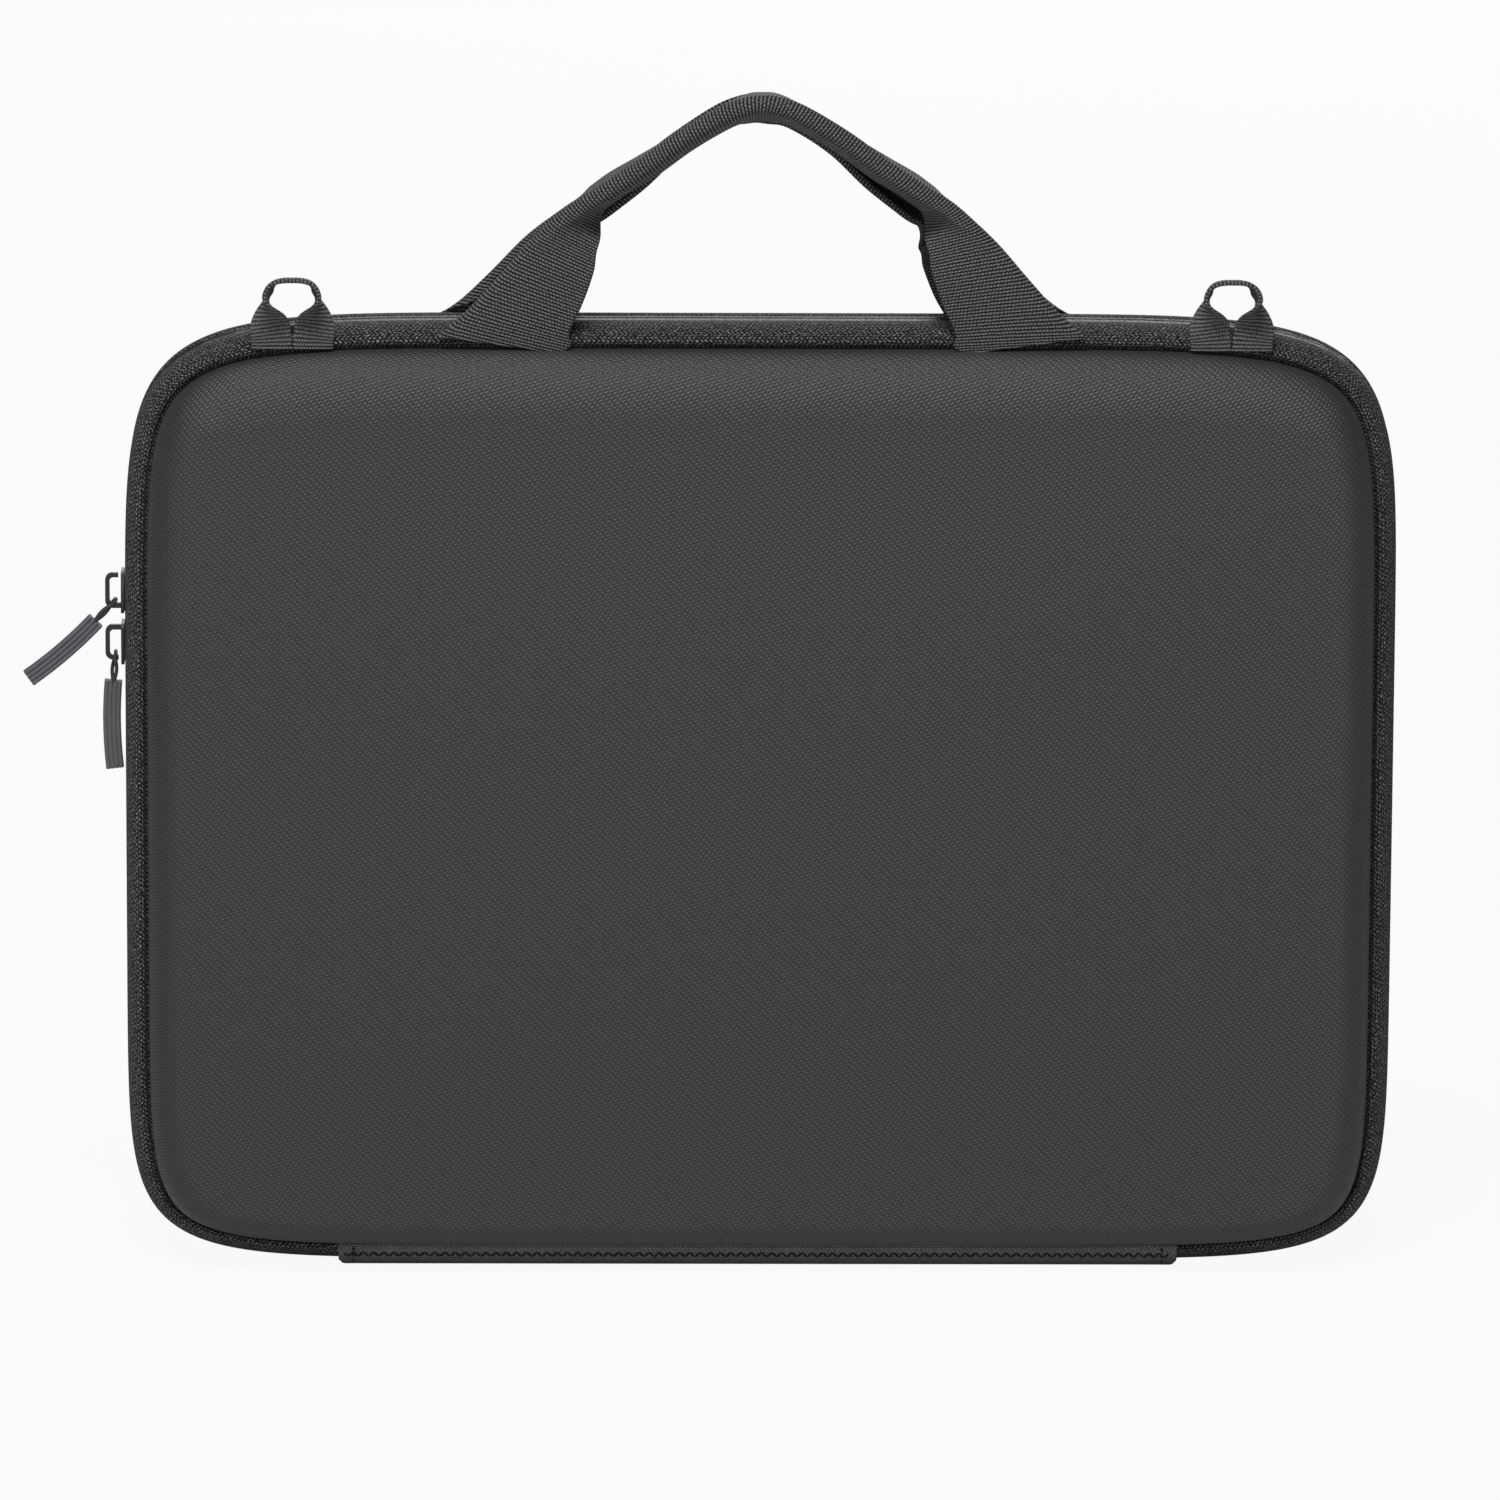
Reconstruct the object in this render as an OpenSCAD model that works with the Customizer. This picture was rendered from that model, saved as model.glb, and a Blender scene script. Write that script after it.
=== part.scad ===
// Zipped hard case for a 15.6 inch laptop: two moulded shells on a soft fabric hinge,
// closed by a zip with two sliders, carried by two webbing handles.
// X runs along the case, the front faces -Y, Z is up. The case stands on its hinge strip,
// and the origin is the middle of that strip's underside.

/* [Case] */
// Width of the case across the zip
case_w = 395; // [340:1:440]
// Height of the case across the zip
case_h = 300.4; // [250:0.2:330]
// Depth from the zip to the crown of one shell
half_depth = 28; // [25:0.5:34]
// Squareness of the outline's upper half, where 2 is an ellipse
outline_power = 7.9; // [6:0.1:9]
// Squareness of its lower half
lower_power = 9.4; // [6:0.1:10]
// How far the outside of each shell crowns in its middle
crown = 1.2; // [0.4:0.1:2]

/* [Shells] */
// Thickness of the moulded foam shell
shell_wall = 4; // [2.5:0.1:5]
// Thickness of the plush lining
lining_wall = 1.2; // [0.6:0.1:2]
// Width of the broad shoulder along the top
shoulder_top = 20; // [14:0.5:24]
// Width of the shoulder down the sides
shoulder_side = 11; // [8:0.5:14]
// Width of the shoulder along the bottom
shoulder_bottom = 9; // [7:0.5:12]
// Straight part of the shell wall, before its shoulder
wall_rise = 3.5; // [1:0.1:5]

/* [Zip] */
// Inset of the shell seam from the case's outline
seam_inset = 7.2; // [6.5:0.1:9]
// Distance of the shell's rim from the zip
rim_depth = 12.5; // [11:0.1:14]
// Thickness of the woven zip tape
tape_wall = 1.6; // [1:0.1:2]
// Spacing of the teeth in one row
tooth_pitch = 4; // [3:0.1:6]
// Height of the zip chain, from its outside to its inside
chain_wall = 2.1; // [1.6:0.1:2.4]
// Half width of the zip chain, where the tape begins
chain_half = 3.2; // [2.8:0.1:4]
// How far a closed tooth reaches past the middle
tooth_reach = 1.1; // [0.6:0.1:1.4]
// Gap left between neighbouring teeth and between the rows
tooth_gap = 0.2; // [0.15:0.05:0.3]
// Depth of the bound seam inside the rim
binding_depth = 2; // [1:0.1:3]

/* [Sliders] */
// Length of a zip slider
slider_len = 13; // [11:0.5:16]
// Width of a zip slider
slider_w = 9.8; // [9:0.1:11]
// Thickness of a slider's blades
blade_wall = 1; // [0.8:0.1:1.4]
// Height of the middle of the upper slider
upper_slider_z = 214.5; // [205:0.5:220]
// Height of the middle of the lower slider
lower_slider_z = 198; // [150:0.5:198]
// Length of the crown on a slider
crown_len = 11.2; // [9:0.1:12]
// How far the crown stands off the blade
crown_rise = 5; // [4:0.1:6]
// Thickness of the crown's wire
crown_wire = 1.4; // [1:0.1:1.8]
// Thickness of the pull cord
cord_d = 1.2; // [0.8:0.1:1.4]
// Length of a pull grip
grip_len = 28; // [20:0.5:36]
// Width of a pull grip
grip_w = 5.5; // [4.5:0.1:7]
// Thickness of a pull grip
grip_wall = 3.2; // [2.6:0.1:4]
// Angle at which the upper pull is propped out
upper_pull_lean = 43; // [40:1:60]
// Angle at which the lower pull hangs
lower_pull_lean = 5; // [4:1:8]

/* [Hinge] */
// Length of the fabric hinge strip
strip_len = 263; // [220:1:270]
// How far the strip stands proud of the zip tape
strip_proud = 1.2; // [0.8:0.1:2]
// Half width of the flat that the case stands on
strip_flat = 9; // [6:0.5:10]

/* [Handles] */
// Width of the handle webbing
handle_web = 38; // [30:0.5:44]
// Thickness of the handle webbing
handle_wall = 2; // [1.4:0.1:2.6]
// Distance between the middles of the two sewn ends
handle_span = 164; // [140:1:190]
// Height of the front handle's crest above its seam
front_handle_rise = 78; // [70:1:90]
// Height of the back handle's crest above its seam
back_handle_rise = 69; // [66:1:90]
// Lean of each handle away from the middle
handle_lean = 3; // [2:0.5:8]
// Angle that each half of the webbing is folded back through over the grip
grip_fold = 85; // [60:1:88]
// Width of webbing, either side of its middle, that bends in the fold
grip_crease = 4.5; // [4.4:0.1:6]
// Which way the front grip's fold faces: 90 straight out, less is up
front_grip_turn = 74; // [60:1:110]
// Which way the back grip's fold faces
back_grip_turn = 98; // [60:1:110]
// Tilt of the webbing where it is sewn
sewn_tilt = 8; // [0:1:12]

/* [Strap loops] */
// Width of the loop webbing
loop_web = 12.7; // [10:0.1:16]
// Thickness of the loop webbing
loop_wall = 1.4; // [1:0.1:2]
// Height of a strap loop above its seam
loop_rise = 23; // [18:0.5:26]
// Distance of each strap loop from the case's side
loop_from_side = 52.5; // [48:0.5:62]

/* [Inside] */
// Width of the elastic corner straps
elastic_w = 20; // [12:1:30]
// Thickness of the elastic
elastic_wall = 1; // [0.6:0.1:1.6]
// Length of a corner strap between its sewn ends
elastic_len = 80; // [60:1:100]
// Distance of the corner straps' middles from the inside corner
elastic_corner = 36; // [32:1:46]
// Distance of the pocket from the inside's sides
pocket_margin = 14; // [8:1:40]
// Height of the net pocket
pocket_h = 150; // [110:1:180]
// Width of the pocket's binding
pocket_hem = 9; // [6:0.5:14]
// Thickness of the pocket's binding
pocket_rise = 2.4; // [1.5:0.1:4]
// Thickness of the net
net_wall = 0.8; // [0.5:0.1:1.2]
// Spacing of the holes in the net
net_pitch = 14; // [12:0.5:20]
// Width of the net's threads
net_thread = 2; // [1:0.1:3]

/* [Hidden] */

shell_colour = [0.15, 0.15, 0.155];
tape_colour = [0.21, 0.21, 0.21];
web_colour = [0.2, 0.2, 0.2];
metal_colour = [0.08, 0.08, 0.08];
grip_colour = [0.34, 0.35, 0.37];
lining_colour = [0.28, 0.28, 0.29];

// Steps of the outline in one quarter of it
quarter_steps = 16;
// Steps of the shoulder, outside and inside
shoulder_steps = 6;
inner_steps = 4;
// Rings that carry the crown over the face, as shares of the way out
crown_rings = [0.72, 0.4];
// Running gap between pieces that move past each other
run_gap = 0.3;

mid_z = strip_proud + case_h / 2;
top_z = strip_proud + case_h;
wall_depth = rim_depth + wall_rise;
face_depth = half_depth - crown;
inner_face = face_depth - shell_wall - lining_wall;
inner_inset = seam_inset + shell_wall + lining_wall;

// ---- the outline: a superellipse in the plane of the zip --------------------------------

// Angles crowd towards the corners, where the superellipse bends
function spread(i) = let (quarter = floor(i / quarter_steps), share = i / quarter_steps - quarter)
    90 * (quarter + (1 - cos(180 * share)) / 2);
function power(v, p) = sign(v) * pow(abs(v), p);
function squareness(t) = sin(t) < 0 ? lower_power : outline_power;
function edge_x(t) = case_w / 2 * power(cos(t), 2 / squareness(t));
function edge_z(t) = case_h / 2 * power(sin(t), 2 / squareness(t));
function unit(v) = v / norm(v);
// The outline's outward normal
function away(t) = unit([power(2 * edge_x(t) / case_w, squareness(t) - 1) / case_w,
    power(2 * edge_z(t) / case_h, squareness(t) - 1) / case_h]);
// The point at angle t, moved in from the outline, as [x, z]
function inward(t, inset) = [edge_x(t), mid_z + edge_z(t)] - inset * away(t);
function at_depth(p, depth) = [p[0], depth, p[1]];
all_round = [for (i = [0 : 4 * quarter_steps - 1]) spread(i)];
// The shoulder is broad where the outline faces up and tight where it faces down
function shoulder(t) = shoulder_side
    + (shoulder_top - shoulder_side) * pow(max(0, away(t)[1]), 2)
    + (shoulder_bottom - shoulder_side) * pow(max(0, -away(t)[1]), 2);

// ---- lofts -------------------------------------------------------------------------------

function flat_list(rings) = [for (ring = rings) for (p = ring) p];
// Two triangles for each cell between rings a and b, cut along its shorter diagonal, so that
// two skins that share their points share their facets too
function band(rings, a, b) = let (count = len(rings[0]), p = rings[a], q = rings[b])
    [for (j = [0 : count - 1]) let (k = (j + 1) % count,
        pj = a * count + j, pk = a * count + k, qj = b * count + j, qk = b * count + k)
        for (tri = norm(p[j] - q[k]) <= norm(p[k] - q[j])
            ? [[pj, pk, qk], [pj, qk, qj]] : [[pj, pk, qj], [pk, qk, qj]]) tri];

// A closed skin from one middle point, out over the rings and back to another middle point
module dish(first, rings, last) {
    count = len(rings[0]);
    total = len(rings) * count;
    fans = [for (j = [0 : count - 1]) let (k = (j + 1) % count)
        for (tri = [[total, j, k], [total + 1, total - count + k, total - count + j]]) tri];
    walls = [for (r = [0 : len(rings) - 2]) for (tri = band(rings, r + 1, r)) tri];
    polyhedron(concat(flat_list(rings), [first, last]), concat(fans, walls), convexity = 6);
}

// A section carried along a path, closed on itself or with its two ends capped
module sweep(rings, closed = false) {
    count = len(rings[0]);
    steps = len(rings);
    walls = [for (r = [0 : steps - (closed ? 1 : 2)])
        for (tri = band(rings, r, (r + 1) % steps)) tri];
    caps = closed ? [] : [[for (j = [count - 1 : -1 : 0]) j],
        [for (j = [0 : count - 1]) (steps - 1) * count + j]];
    polyhedron(flat_list(rings), concat(walls, caps), convexity = 6);
}

// ---- shells and linings ------------------------------------------------------------------

// Rings of the skin that lies this far inside the shell's outside, from rim to face
function skin(inside, steps) = concat(
    [[for (t = all_round) at_depth(inward(t, seam_inset + inside), rim_depth)]],
    [for (k = [0 : steps]) let (turn = 90 * k / steps)
        [for (t = all_round)
            at_depth(inward(t, seam_inset + inside + (shoulder(t) - 0.4 * inside) * (1 - cos(turn))),
                wall_depth + (face_depth - inside - wall_depth) * sin(turn))]]);
// The crowned face inside the last ring of the shoulder
function crowned(ring) = [for (share = crown_rings)
    [for (p = ring) [p[0] * share, half_depth - crown * share * share, mid_z + (p[2] - mid_z) * share]]];
function back_to_front(rings) = [for (i = [len(rings) - 1 : -1 : 0]) rings[i]];
function middle(depth) = [0, depth, mid_z];

module shell() color(shell_colour) {
    outside = skin(0, shoulder_steps);
    dish(middle(half_depth),
        concat(back_to_front(concat(outside, crowned(outside[len(outside) - 1]))),
            skin(shell_wall, inner_steps)),
        middle(face_depth - shell_wall));
}

module lining() color(lining_colour)
    dish(middle(face_depth - shell_wall),
        concat(back_to_front(skin(shell_wall, inner_steps)),
            skin(shell_wall + lining_wall, inner_steps)),
        middle(inner_face));

// The bound seam that covers the raw edges inside the rim
module seam_binding() color(tape_colour)
    sweep([for (t = all_round) [
        at_depth(inward(t, seam_inset), rim_depth - binding_depth),
        at_depth(inward(t, inner_inset), rim_depth - binding_depth),
        at_depth(inward(t, inner_inset), rim_depth),
        at_depth(inward(t, seam_inset), rim_depth)]], closed = true);

// ---- zip tape and teeth ------------------------------------------------------------------

// The zip runs over the top from one end of the hinge strip to the other
function angle_at(x) = acos(pow(x / (case_w / 2), lower_power / 2));
// The tape's end is square to the outline, so that it leans towards the strip at its seam
end_lean = -seam_inset * away(180 + angle_at(strip_len / 2))[0];
zip_end = angle_at(strip_len / 2 + run_gap + end_lean);
zip_angles = concat([-zip_end],
    [for (i = [-quarter_steps : 3 * quarter_steps]) let (t = spread(i))
        if (t > 1 - zip_end && t < 179 + zip_end) t],
    [180 + zip_end]);
// Section of the tape as [inset, depth]: outside from the chain to the seam, then inside
tape_section = [[0.5, chain_half], [0, 4.8], [0.5, 8.6], [0.32 * seam_inset, rim_depth - 0.1],
    [0.68 * seam_inset, rim_depth + 1.9], [0.9 * seam_inset, rim_depth + 2],
    [seam_inset, rim_depth + 0.4], [seam_inset, rim_depth - 1.3],
    [0.68 * seam_inset, rim_depth - 0.2], [0.42 * seam_inset, rim_depth - 2.2],
    [0.5 + tape_wall, 8], [0.5 + tape_wall, chain_half]];

module zip_tape() color(tape_colour)
    sweep(back_to_front([for (t = zip_angles)
        [for (p = tape_section) at_depth(inward(t, p[0]), p[1])]]));

chain_inset = 0.3;
// The chain's outer and inner edges, and the length along it at each point of the path
chain_out = [for (t = zip_angles) inward(t, chain_inset)];
chain_in = [for (t = zip_angles) inward(t, chain_inset + chain_wall)];
chain_run = [for (i = 0, s = 0; i < len(chain_out);
    s = s + (i + 1 < len(chain_out) ? norm(chain_out[i + 1] - chain_out[i]) : 0), i = i + 1) s];
chain_len = chain_run[len(chain_run) - 1];
function along(s, path) = [for (axis = [0, 1])
    lookup(s, [for (i = [0 : len(path) - 1]) [chain_run[i], path[i][axis]]])];
// Length along the chain at a height on the left side
function run_at(z) = lookup(z, [for (i = [0 : len(chain_out) - 1])
    if (zip_angles[i] > 130 && zip_angles[i] < 230) [chain_out[i][1], chain_run[i]]]);
open_from = run_at(upper_slider_z);
open_to = run_at(lower_slider_z);
// Inner edges of the row's spine: where the zip is closed, and between the sliders
closed_spine = tooth_reach + tooth_gap;
open_spine = closed_spine + 1;
open_tip = 0.9;

// A stretch of the chain from run s0 to s1, as an outline in the plane of the zip
function stretch(s0, s1) = let (
    stops = concat([s0], [for (s = chain_run) if (s > s0 + 0.01 && s < s1 - 0.01) s], [s1]))
    concat([for (s = stops) along(s, chain_out)],
        [for (i = [len(stops) - 1 : -1 : 0]) along(stops[i], chain_in)]);
// Outlines on the zip's plane, given depth from y0 to y1
module slab(y0, y1) translate([0, y1, 0]) rotate([90, 0, 0]) linear_extrude(y1 - y0) children();

// Teeth are thinner than the spine by this much, outside and inside
tooth_shy = 0.15;
tooth_half = tooth_pitch / 4 - tooth_gap / 2;
tooth_out = [for (t = zip_angles) inward(t, chain_inset + tooth_shy)];
tooth_in = [for (t = zip_angles) inward(t, chain_inset + chain_wall - tooth_shy)];
function tooth(s) = [along(s - tooth_half, tooth_out), along(s + tooth_half, tooth_out),
    along(s + tooth_half, tooth_in), along(s - tooth_half, tooth_in)];

// One row: a spine along the tape, and teeth that reach across to the other row
module teeth_row(phase) color(metal_colour) {
    clear = tooth_half + tooth_gap;
    places = [for (s = [1 + (0.5 + phase) * tooth_pitch : tooth_pitch : chain_len - 3]) s];
    slab(open_spine, chain_half) polygon(stretch(0, chain_len));
    slab(closed_spine, open_spine) {
        polygon(stretch(0, open_from));
        polygon(stretch(open_to, chain_len));
    }
    slab(-tooth_reach, closed_spine)
        for (s = places)
            if (s + clear < open_from || s - clear > open_to) polygon(tooth(s));
    slab(open_tip, open_spine)
        for (s = places)
            if (s - clear > open_from && s + clear < open_to) polygon(tooth(s));
}

// ---- sliders and pulls -------------------------------------------------------------------

blade_gap = 0.3;
outer_blade = -blade_gap - blade_wall;
inner_blade = chain_inset + chain_wall + run_gap;
throat_w = slider_w - 1.6;
post_w = 1.2;
post_len = 3.5;
crown_block = 1.6;
cord_half = crown_wire / 2 + run_gap + cord_d / 2;
cord_len = 9;
eye_x = outer_blade - (crown_rise - crown_wire) / 2;
grip_bend = 140;
grip_ridge = 0.55;

// A slider with its post down, x measured inwards from the outline
module slider_body() color(metal_colour) {
    plan = [[-slider_w / 2, 1 - slider_len / 2], [1 - slider_w / 2, -slider_len / 2],
        [slider_w / 2 - 1, -slider_len / 2], [slider_w / 2, 1 - slider_len / 2],
        [slider_w / 2, 0], [throat_w / 2, slider_len / 2 - 0.8], [throat_w / 2 - 0.8, slider_len / 2],
        [0.8 - throat_w / 2, slider_len / 2], [-throat_w / 2, slider_len / 2 - 0.8], [-slider_w / 2, 0]];
    for (x = [outer_blade, inner_blade])
        translate([x, 0, 0]) rotate([90, 0, 90]) linear_extrude(blade_wall) polygon(plan);
    translate([-blade_gap, -post_w / 2, -slider_len / 2])
        cube([inner_blade + blade_gap, post_w, post_len]);
}

// The crown is an open hook of wire over a solid foot, its mouth at the top
module slider_crown() color(metal_colour)
    translate([outer_blade, 0, -crown_len / 2])
        slab(-crown_wire / 2, crown_wire / 2) difference() {
            rounded_block(crown_rise, crown_len, 2.4);
            translate([0, crown_block])
                rounded_block(crown_rise - crown_wire, crown_len - crown_block - crown_wire, 1.2);
            translate([-0.9, crown_len - crown_wire - 0.5]) square([1, crown_wire + 1]);
        }
// A block that grows to the left of the origin, with its two far corners rounded
module rounded_block(wide, tall, r) {
    translate([-wide + r, 0]) square([wide - r, tall]);
    translate([-wide, r]) square([r, tall - 2 * r]);
    for (y = [r, tall - r]) translate([-wide + r, y]) circle(r, $fn = 32);
}

// The cord's bight lies in the crown's eye and its strands pass either side of the wire
module pull_cord() color(metal_colour) {
    rotate([90, 0, 0]) cylinder(d = cord_d, h = 2 * cord_half, center = true, $fn = 24);
    for (side = [-1, 1]) translate([0, side * cord_half, 0]) {
        sphere(d = cord_d, $fn = 24);
        translate([0, 0, -cord_len]) cylinder(d = cord_d, h = cord_len, $fn = 24);
    }
}

// A ridged grip, bent a little along its length; it starts under the cord
module pull_grip() color(grip_colour)
    translate([0, 0, -cord_len]) rotate([-90, 0, 0]) translate([-grip_bend, 0, 0])
        rotate_extrude(angle = grip_len / grip_bend * 180 / PI, $fn = 96) translate([grip_bend, 0]) {
            core = grip_wall - 2 * grip_ridge;
            square([grip_w, core], center = true);
            for (i = [-1.5 : 1 : 1.5]) for (side = [-1, 1])
                translate([i * grip_w / 4, side * core / 2]) circle(grip_ridge, $fn = 20);
        }

upper_eye_z = upper_slider_z - crown_len / 2 + crown_block + run_gap + cord_d / 2;
lower_eye_z = lower_slider_z - crown_len / 2 + crown_wire + run_gap + cord_d / 2;
module at_upper() translate([-case_w / 2, 0, upper_slider_z]) children();
module at_lower() translate([-case_w / 2, 0, lower_slider_z]) mirror([0, 0, 1]) children();
module upper_pull() translate([-case_w / 2 + eye_x, 0, upper_eye_z])
    rotate([0, upper_pull_lean, 0]) children();
module lower_pull() translate([-case_w / 2 + eye_x, 0, lower_eye_z])
    rotate([0, lower_pull_lean, 0]) mirror([1, 0, 0]) children();

// ---- hinge -------------------------------------------------------------------------------

// The strip's section follows the tape it takes the place of, but is flat underneath
strip_section = [[strip_flat, 0], [rim_depth - 0.4, 1.1], [rim_depth + 2, 3.8],
    [rim_depth + 2.6, strip_proud + 0.7 * seam_inset],
    [rim_depth + 1.6, strip_proud + seam_inset - 0.4], [rim_depth - 1, strip_proud + seam_inset],
    [rim_depth - 1.3, strip_proud + seam_inset - 1], [rim_depth - 0.2, strip_proud + 0.68 * seam_inset],
    [rim_depth - 2.4, strip_proud + 0.42 * seam_inset], [8, strip_proud + tape_wall]];
end_cut = 3;
module across(len) rotate([90, 0, 90]) linear_extrude(len, center = true) children();

module hinge_strip() color(shell_colour) difference() {
    across(strip_len) polygon(concat(strip_section,
        [for (i = [len(strip_section) - 1 : -1 : 0]) [-strip_section[i][0], strip_section[i][1]]]));
    for (side = [-1, 1]) translate([side * strip_len / 2, 0, 0]) rotate([0, 45, 0])
        cube([end_cut, 60, end_cut], center = true);
}

module hinge_lining() color(lining_colour)
    translate([-strip_len / 2, binding_depth - rim_depth, strip_proud + inner_inset - tape_wall])
        cube([strip_len, 2 * (rim_depth - binding_depth), tape_wall]);

// ---- webbing handles and strap loops -----------------------------------------------------

function ease(v) = let (u = min(1, max(0, v))) u * u * (3 - 2 * u);
function curve(p, t) = pow(1 - t, 3) * p[0] + 3 * t * pow(1 - t, 2) * p[1]
    + 3 * t * t * (1 - t) * p[2] + pow(t, 3) * p[3];
function heading(p, t) = unit(curve(p, min(1, t + 0.01)) - curve(p, max(0, t - 0.01)));

flat_bend = 0.5;
// The webbing starts to fold once it is clear of the tape
fold_from = seam_inset + 8;
fold_over = 28;
// Section of webbing at t along one leg: flat against the case at the seam, then turned, and
// folded along its middle over the arch. u runs along the case, h up and f to the front.
function web_ring(p, t, wide, thick, fold, crease, tilt, turned, settle) = let (
    centre = curve(p, t),
    start = ease(t / 0.15),
    head = unit(heading(p, t) * start + [sin(tilt), cos(tilt)] * (1 - start)),
    turn = 90 - (90 - turned) * ease((t - 0.12) / settle),
    lifted = min(1, max(0, (centre[1] - fold_from) / fold_over)),
    bend = flat_bend + (fold - flat_bend) * (1 - pow(1 - lifted, 2.4)),
    radius = crease / (bend * PI / 180),
    flap = wide / 2 - crease,
    out = [-head[1] * cos(turn), head[0] * cos(turn), sin(turn)],
    side = [head[1] * sin(turn), -head[0] * sin(turn), cos(turn)],
    // Angles across the section, with the flaps' ends at -3 and 3
    skin = function(k, inner) let (a = bend * max(-1, min(1, k / 2)), end = abs(k) == 3 ? flap : 0)
        [centre[0], centre[1], 0]
            + side * ((radius - inner) * sin(a) + sign(k) * end * cos(a))
            + out * ((radius - inner) * cos(a) - radius - end * sin(abs(a))))
    concat([for (k = [-3 : 3]) skin(k, 0)], [for (k = [3 : -1 : -3]) skin(k, thick)]);

// Both legs of an arch of webbing, mirrored about its top
module web_arch(p, steps, wide, thick, fold, crease, tilt, turned, settle) {
    left = [for (i = [0 : steps])
        web_ring(p, i / steps, wide, thick, fold, crease, tilt, turned, settle)];
    right = [for (i = [steps - 1 : -1 : 0]) [for (j = [0 : len(left[i]) - 1])
        let (q = left[i][j]) [-q[0], q[1], q[2]]]];
    sweep([for (ring = concat(left, right)) [for (j = [len(ring) - 1 : -1 : 0])
        [ring[j][0], -ring[j][2], ring[j][1]]]]);
}

// Webbing is sewn where it clears the tape in front and the shell's edge below
web_y = rim_depth + 2 + run_gap;
web_z = top_z - seam_inset + run_gap;

module handle(rise, turned) color(web_colour)
    translate([0, -web_y - handle_wall, web_z]) rotate([handle_lean, 0, 0])
        web_arch([[-handle_span / 2, handle_web / 2 * sin(sewn_tilt)],
            [-handle_span / 2 + 9, 0.35 * rise], [-0.29 * handle_span / 2, rise], [0, rise]],
            16, handle_web, handle_wall, grip_fold, grip_crease, sewn_tilt, turned, 0.55);

loop_x = case_w / 2 - loop_from_side;
module strap_loop() color(web_colour)
    translate([0, -web_y - loop_wall, web_z])
        web_arch([[-loop_web / 2 - 0.4, 0], [-0.55 * loop_web, 0.5 * loop_rise],
            [-1.16 * loop_web, 1.03 * loop_rise], [0, loop_rise]],
            10, loop_web, loop_wall, 4, loop_web / 4, 0, 3, 0.45);

// ---- inside ------------------------------------------------------------------------------

inside_x = case_w / 2 - inner_inset - shoulder_side;
inside_low = strip_proud + inner_inset + shoulder_bottom;
inside_high = top_z - inner_inset - shoulder_top;

// Elastic over each corner of the back half, held at its two sewn ends
module corner_straps() color(web_colour)
    for (side = [-1, 1], corner = [[inside_low, 1], [inside_high, -1]])
        translate([side * (inside_x - elastic_corner), inner_face, corner[0] + corner[1] * elastic_corner])
            rotate([0, side * corner[1] * 45, 0]) {
                translate([-elastic_len / 2, -elastic_wall - 0.6, -elastic_w / 2])
                    cube([elastic_len, elastic_wall, elastic_w]);
                for (end = [-1, 1])
                    translate([end * (elastic_len / 2 - 3) - 3, -0.6, -elastic_w / 2])
                        cube([6, 0.6, elastic_w]);
            }

pocket_low = inside_low + 6;
pocket_w = 2 * (inside_x - pocket_margin);
// Binding on three sides of the pocket, against the lid's lining
module pocket_binding() color(tape_colour)
    translate([0, inner_face, pocket_low]) slab(-pocket_rise, 0) difference() {
        translate([-pocket_w / 2, 0]) square([pocket_w, pocket_h]);
        translate([pocket_hem - pocket_w / 2, pocket_hem])
            square([pocket_w - 2 * pocket_hem, pocket_h]);
    }

// The net is sewn over the binding, with a plain hem along its top
module pocket_net() color(web_colour)
    translate([0, inner_face - pocket_rise, pocket_low]) slab(-net_wall, 0) difference() {
        columns = floor((pocket_w - 2 * pocket_hem) / net_pitch);
        rows = floor((pocket_h - 2 * pocket_hem) / net_pitch);
        hole = net_pitch - net_thread;
        translate([-pocket_w / 2, 0]) square([pocket_w, pocket_h]);
        for (i = [0 : columns - 1], j = [0 : rows - 1])
            translate([(i - columns / 2) * net_pitch + net_thread / 2,
                pocket_h / 2 + (j - rows / 2) * net_pitch + net_thread / 2]) square(hole);
    }

module back_half() children();
module front_half() mirror([0, 1, 0]) children();

back_half() shell();  // back_shell
front_half() shell();  // front_shell
back_half() lining();  // back_lining
front_half() lining();  // front_lining
back_half() zip_tape();  // back_zip_tape
front_half() zip_tape();  // front_zip_tape
back_half() teeth_row(0);  // back_zip_teeth
front_half() teeth_row(0.5);  // front_zip_teeth
back_half() seam_binding();  // back_seam_binding
front_half() seam_binding();  // front_seam_binding
hinge_strip();
hinge_lining();
at_upper() slider_body();  // upper_slider_body
at_upper() slider_crown();  // upper_slider_crown
upper_pull() pull_cord();  // upper_pull_cord
upper_pull() pull_grip();  // upper_pull_grip
at_lower() slider_body();  // lower_slider_body
at_lower() slider_crown();  // lower_slider_crown
lower_pull() pull_cord();  // lower_pull_cord
lower_pull() pull_grip();  // lower_pull_grip
handle(front_handle_rise, front_grip_turn);  // front_handle
front_half() handle(back_handle_rise, back_grip_turn);  // back_handle
translate([-loop_x, 0, 0]) strap_loop();  // strap_loop_left
translate([loop_x, 0, 0]) strap_loop();  // strap_loop_right
back_half() corner_straps();
front_half() pocket_net();
front_half() pocket_binding();
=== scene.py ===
import math

import bpy
import numpy as np
from mathutils import Matrix, Vector


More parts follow.
